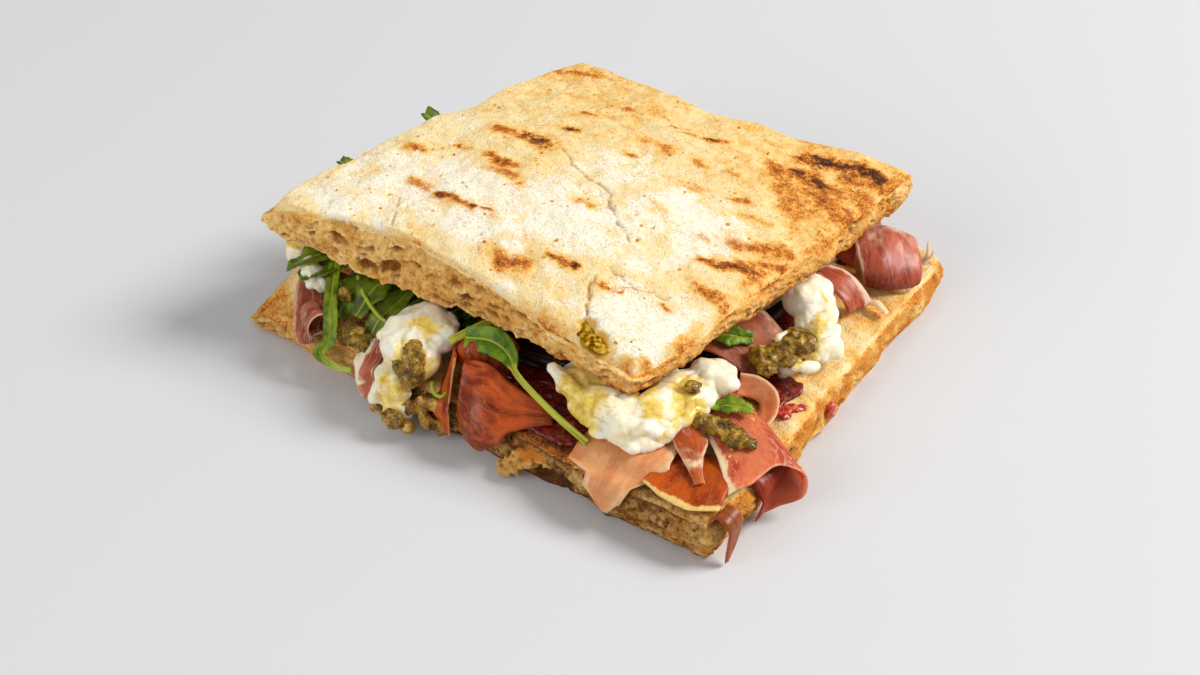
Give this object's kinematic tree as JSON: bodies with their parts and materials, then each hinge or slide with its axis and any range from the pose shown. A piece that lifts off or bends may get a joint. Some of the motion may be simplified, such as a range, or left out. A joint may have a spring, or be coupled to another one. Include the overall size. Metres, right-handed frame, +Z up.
{
  "type": "focaccia sandwich",
  "caption": "Square flatbread sandwich with soft white cheese, cured ham, arugula, pesto and tomato spilling from its open sides.",
  "frame": {"origin": "middle of the lower bread's flat base, on the surface it lies on", "axes": "+Z up; the open front side with the cheese and the folded ham faces -Y, the crusted side of the bread faces +X"},
  "size_m": [0.2019, 0.1789, 0.0567],
  "materials": {
    "bread": "toasted and floured",
    "tomato": "wet",
    "cheese": "moist and creamy",
    "pesto": "oily",
    "arugula": "fresh, slightly shiny",
    "ham": "moist, thin and marbled"
  },
  "bodies": {
    "root": {"bread_lower": "bread", "bread_upper": "bread", "ham_near_gold": "ham", "ham_near_red": "ham", "ham_near_pale": "ham", "ham_near_strip": "ham", "ham_near_hanging": "ham", "ham_right_inner": "ham", "ham_right_curl": "ham", "ham_right_red": "ham", "ham_right_roll": "ham", "ham_front_roll": "ham", "ham_front_upright": "ham", "ham_front_hump": "ham", "ham_front_small": "ham", "ham_left_corner": "ham", "ham_back_fold": "ham", "ham_back_drape": "ham", "ham_back_corner": "ham", "ham_left_side": "ham", "arugula_leaf_front": "arugula", "arugula_leaf_near": "arugula", "arugula_leaf_right": "arugula", "arugula_stalk": "arugula", "arugula_hanging": "arugula", "pesto_front": "pesto", "pesto_front_low": "pesto", "pesto_left": "pesto", "pesto_near": "pesto", "pesto_near_dot": "pesto", "pesto_leaf": "pesto", "pesto_right": "pesto", "cheese_near": "cheese", "cheese_front": "cheese", "cheese_right": "cheese", "cheese_left_corner": "cheese", "cheese_left_low": "cheese", "cheese_back": "cheese", "cheese_back_corner": "cheese", "cheese_left_side": "cheese", "arugula_salad": "arugula", "tomato_spread": "tomato", "ham_bed": "ham", "cheese_heart": "cheese"}
  },
  "joints": []
}
